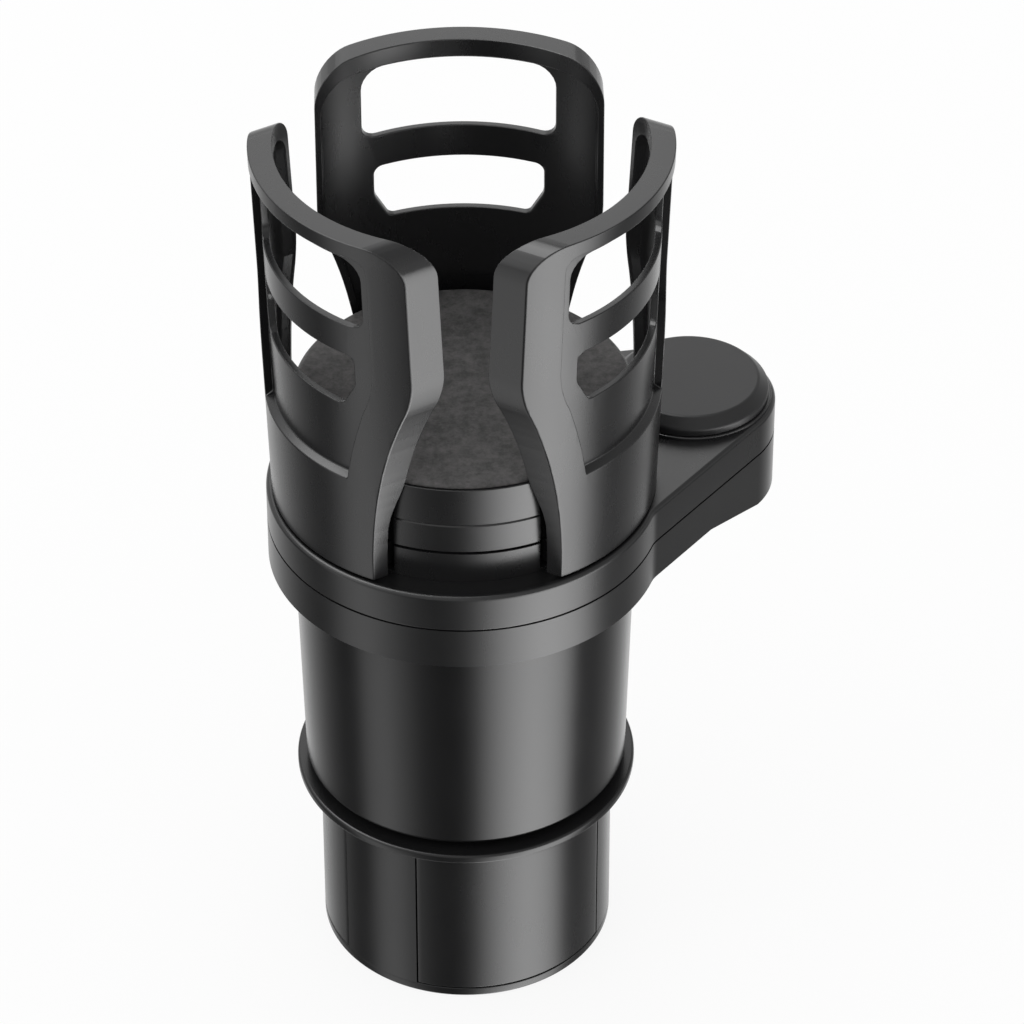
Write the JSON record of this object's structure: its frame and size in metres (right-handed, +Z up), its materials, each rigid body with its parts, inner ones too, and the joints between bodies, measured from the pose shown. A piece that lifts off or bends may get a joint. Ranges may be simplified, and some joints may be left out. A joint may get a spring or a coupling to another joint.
{
  "type": "car cup holder",
  "caption": "Swing-out cup holder: an expanding lower cup grips a car's cup well, and claws on a swinging arm hold a wider cup above it.",
  "frame": {"origin": "centre of the lower cup's foot", "axes": "+Z up along the lower cup and the barrel; one claw is centred on +Y and the arm points at 30 degrees from +X towards +Y"},
  "size_m": [0.1216, 0.0972, 0.2235],
  "materials": {
    "cup_plastic": "satin moulded ABS, black",
    "shoe_plastic": "satin moulded ABS, black",
    "barrel_plastic": "satin moulded ABS, black",
    "arm_plastic": "satin moulded ABS, black",
    "claw_plastic": "fine textured moulded ABS, black",
    "tier_plastic": "satin moulded ABS, black",
    "cap_plastic": "fine textured moulded ABS, black",
    "inner_plastic": "plain moulded acetal, dark",
    "washer_plastic": "natural acetal",
    "pad_foam": "speckled foam rubber, dark grey-brown",
    "screw_steel": "zinc plated",
    "post_steel": "turned steel"
  },
  "bodies": {
    "base": {"base_plate": "cup_plastic", "base_cup": "cup_plastic", "base_screws": "screw_steel"},
    "barrel": {"lower_cam": "inner_plastic", "upper_cam": "inner_plastic", "spindle": "inner_plastic", "spindle_washer": "screw_steel", "spindle_screw": "screw_steel", "barrel": "barrel_plastic", "lower_arm": "arm_plastic", "arm_screws": "screw_steel", "pivot_post": "post_steel", "thrust_washer": "washer_plastic", "pivot_washer": "screw_steel", "pivot_screw": "screw_steel"},
    "grip_1": {"grip_shoe_1": "shoe_plastic"},
    "grip_2": {"grip_shoe_2": "shoe_plastic"},
    "grip_3": {"grip_shoe_3": "shoe_plastic"},
    "holder": {"upper_arm": "arm_plastic", "holder_floor": "inner_plastic", "floor_screws": "screw_steel", "guide_hub": "tier_plastic", "hub_screws": "screw_steel", "hub_washer": "screw_steel", "centre_screw": "screw_steel", "pivot_cap": "cap_plastic", "wave_washer": "screw_steel"},
    "platform": {"cam_ring": "tier_plastic", "platform_top": "tier_plastic", "platform_screws": "screw_steel", "seat_pad": "pad_foam"},
    "claw_body_1": {"claw_1": "claw_plastic"},
    "claw_body_2": {"claw_2": "claw_plastic"},
    "claw_body_3": {"claw_3": "claw_plastic"}
  },
  "joints": [
    {"name": "barrel_turn", "type": "hinge", "parent": "base", "child": "barrel", "pos_m": [0, 0, 0.05], "axis": [0, 0, 1], "range_deg": [0, 90]},
    {"name": "grip_1_slide", "type": "slide", "parent": "base", "child": "grip_1", "axis": [0.3584, -0.9336, 0], "range_m": [0, 0.005]},
    {"name": "grip_2_slide", "type": "slide", "parent": "base", "child": "grip_2", "axis": [0.6293, 0.7771, 0], "range_m": [0, 0.005]},
    {"name": "grip_3_slide", "type": "slide", "parent": "base", "child": "grip_3", "axis": [-0.9877, 0.1564, 0], "range_m": [0, 0.005]},
    {"name": "holder_swing", "type": "hinge", "parent": "barrel", "child": "holder", "pos_m": [0.05404, 0.0312, 0.1216], "axis": [0, 0, 1], "range_deg": [-180, 180]},
    {"name": "platform_turn", "type": "hinge", "parent": "holder", "child": "platform", "pos_m": [0, 0, 0.14], "axis": [0, 0, 1], "range_deg": [0, 100]},
    {"name": "claw_1_slide", "type": "slide", "parent": "holder", "child": "claw_body_1", "axis": [0, 1, 0], "range_m": [0, 0.006]},
    {"name": "claw_2_slide", "type": "slide", "parent": "holder", "child": "claw_body_2", "axis": [-0.866, -0.5, 0], "range_m": [0, 0.006]},
    {"name": "claw_3_slide", "type": "slide", "parent": "holder", "child": "claw_body_3", "axis": [0.866, -0.5, 0], "range_m": [0, 0.006]}
  ],
  "couplings": [
    {"joint": "grip_1_slide", "follows": "barrel_turn", "m_per_rad": 0.003183},
    {"joint": "grip_2_slide", "follows": "barrel_turn", "m_per_rad": 0.003183},
    {"joint": "grip_3_slide", "follows": "barrel_turn", "m_per_rad": 0.003183},
    {"joint": "claw_1_slide", "follows": "platform_turn", "m_per_rad": 0.003437},
    {"joint": "claw_2_slide", "follows": "platform_turn", "m_per_rad": 0.003437},
    {"joint": "claw_3_slide", "follows": "platform_turn", "m_per_rad": 0.003437}
  ]
}
